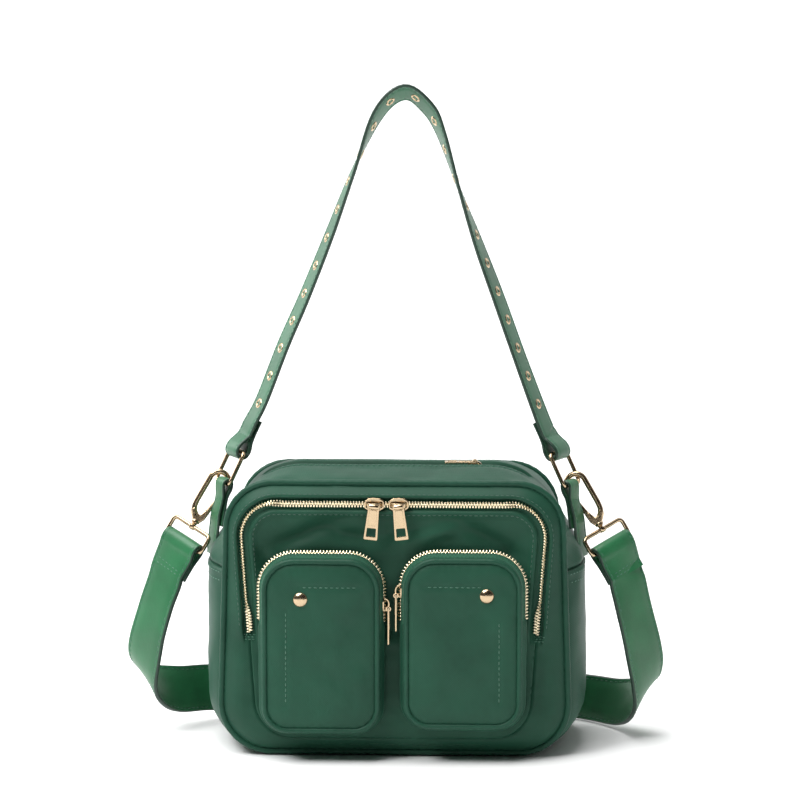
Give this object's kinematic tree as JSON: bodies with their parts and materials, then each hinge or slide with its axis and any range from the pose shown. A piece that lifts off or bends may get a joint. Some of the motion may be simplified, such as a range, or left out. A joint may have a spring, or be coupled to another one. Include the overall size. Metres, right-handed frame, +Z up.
{
  "type": "crossbody purse",
  "caption": "Soft zip-top crossbody purse with a hooped front zip, patch pockets, a studded shoulder strap on rings and a clip-on crossbody strap.",
  "frame": {"origin": "centre of the flat base, on the surface the bag stands on", "axes": "+Z up, front of the bag faces -Y, +X to the right seen from the front"},
  "size_m": [0.3629, 0.1476, 0.4434],
  "materials": {
    "nylon": "matte satin nylon twill",
    "leather": "smooth satin",
    "gold": "polished light gold plate",
    "zip_teeth": "bright light gold",
    "lining": "matte woven",
    "board": "matte"
  },
  "bodies": {
    "bag": {"front_panel": "nylon", "back_panel": "nylon", "upper_gusset": "nylon", "lower_gusset": "nylon", "front_piping": "nylon", "back_piping": "nylon", "lining": "lining", "base_board": "board", "front_pocket_panel": "nylon", "front_pocket_wall": "nylon", "front_pocket_divider": "lining", "front_zip_chain": "zip_teeth", "main_zip_chain": "zip_teeth", "left_pocket_face": "nylon", "left_pocket_piping": "nylon", "left_pocket_wall": "nylon", "left_pocket_zip_chain": "zip_teeth", "left_rivet": "gold", "right_pocket_face": "nylon", "right_pocket_piping": "nylon", "right_pocket_wall": "nylon", "right_pocket_zip_chain": "zip_teeth", "right_rivet": "gold", "left_tab": "leather", "right_tab": "leather", "left_hook": "gold", "right_hook": "gold", "crossbody_strap": "leather"},
    "shoulder": {"left_tab_loop": "leather", "right_tab_loop": "leather", "left_ring": "gold", "right_ring": "gold", "shoulder_strap": "leather", "shoulder_eyelets": "gold"},
    "front_slider_left": {"front_zip_slider_left": "gold"},
    "front_pull_left": {"front_zip_pull_left": "gold"},
    "front_slider_right": {"front_zip_slider_right": "gold"},
    "front_pull_right": {"front_zip_pull_right": "gold"},
    "main_slider": {"main_zip_slider": "gold"},
    "main_pull": {"main_zip_pull": "gold"},
    "pocket_slider_left": {"left_pocket_slider": "gold"},
    "pocket_pull_left": {"left_pocket_pull": "gold"},
    "pocket_slider_right": {"right_pocket_slider": "gold"},
    "pocket_pull_right": {"right_pocket_pull": "gold"},
    "gate_left": {"left_hook_gate": "gold"},
    "gate_right": {"right_hook_gate": "gold"},
    "swivel_left": {"left_swivel_ring": "gold", "left_strap_end": "leather"},
    "swivel_right": {"right_swivel_ring": "gold", "right_strap_end": "leather"}
  },
  "joints": [
    {"name": "shoulder_strap_swing", "type": "hinge", "parent": "bag", "child": "shoulder", "pos_m": [0, 0, 0.1753], "axis": [1, 0, 0], "range_deg": [-40, 21]},
    {"name": "front_left_slide", "type": "slide", "parent": "bag", "child": "front_slider_left", "axis": [-1, 0, 0], "range_m": [0, 0.05]},
    {"name": "front_left_pull_hinge", "type": "hinge", "parent": "front_slider_left", "child": "front_pull_left", "pos_m": [-0.013, -0.0595, 0.1708], "axis": [-1, 0, 0], "range_deg": [0, 150]},
    {"name": "front_right_slide", "type": "slide", "parent": "bag", "child": "front_slider_right", "axis": [1, 0, 0], "range_m": [0, 0.06]},
    {"name": "front_right_pull_hinge", "type": "hinge", "parent": "front_slider_right", "child": "front_pull_right", "pos_m": [0.003, -0.0595, 0.1708], "axis": [-1, 0, 0], "range_deg": [0, 150]},
    {"name": "main_slide", "type": "slide", "parent": "bag", "child": "main_slider", "axis": [-1, 0, 0], "range_m": [0, 0.1]},
    {"name": "main_pull_hinge", "type": "hinge", "parent": "main_slider", "child": "main_pull", "pos_m": [0.052, 0, 0.1903], "axis": [0, 1, 0], "range_deg": [0, 170]},
    {"name": "left_pocket_slide", "type": "slide", "parent": "bag", "child": "pocket_slider_left", "axis": [0, 0, 1], "range_m": [-0.006, 0.008]},
    {"name": "left_pocket_pull_hinge", "type": "hinge", "parent": "pocket_slider_left", "child": "pocket_pull_left", "pos_m": [-0.0035, -0.0596, 0.106], "axis": [0, -1, 0], "range_deg": [0, 4]},
    {"name": "right_pocket_slide", "type": "slide", "parent": "bag", "child": "pocket_slider_right", "axis": [0, 0, 1], "range_m": [-0.014, 0]},
    {"name": "right_pocket_pull_hinge", "type": "hinge", "parent": "pocket_slider_right", "child": "pocket_pull_right", "pos_m": [0.0015, -0.0596, 0.115], "axis": [0, 1, 0], "range_deg": [0, 4]},
    {"name": "left_gate", "type": "hinge", "parent": "bag", "child": "gate_left", "pos_m": [-0.12796, 0.00123, 0.15452], "axis": [0.0811, -0.9871, 0.1378], "range_deg": [0, 18], "stiffness_Nm_per_rad": 0.02, "springref_deg": -11.46},
    {"name": "right_gate", "type": "hinge", "parent": "bag", "child": "gate_right", "pos_m": [0.12796, 0.00123, 0.15452], "axis": [0.0811, 0.9871, -0.1378], "range_deg": [0, 18], "stiffness_Nm_per_rad": 0.02, "springref_deg": -11.46},
    {"name": "left_swivel", "type": "hinge", "parent": "bag", "child": "swivel_left", "pos_m": [-0.1362, -0.00047, 0.14723], "axis": [0.501, 0.1599, 0.8505], "range_deg": [-8, 8]},
    {"name": "right_swivel", "type": "hinge", "parent": "bag", "child": "swivel_right", "pos_m": [0.1362, -0.00047, 0.14723], "axis": [-0.501, 0.1599, 0.8505], "range_deg": [-8, 8]}
  ]
}
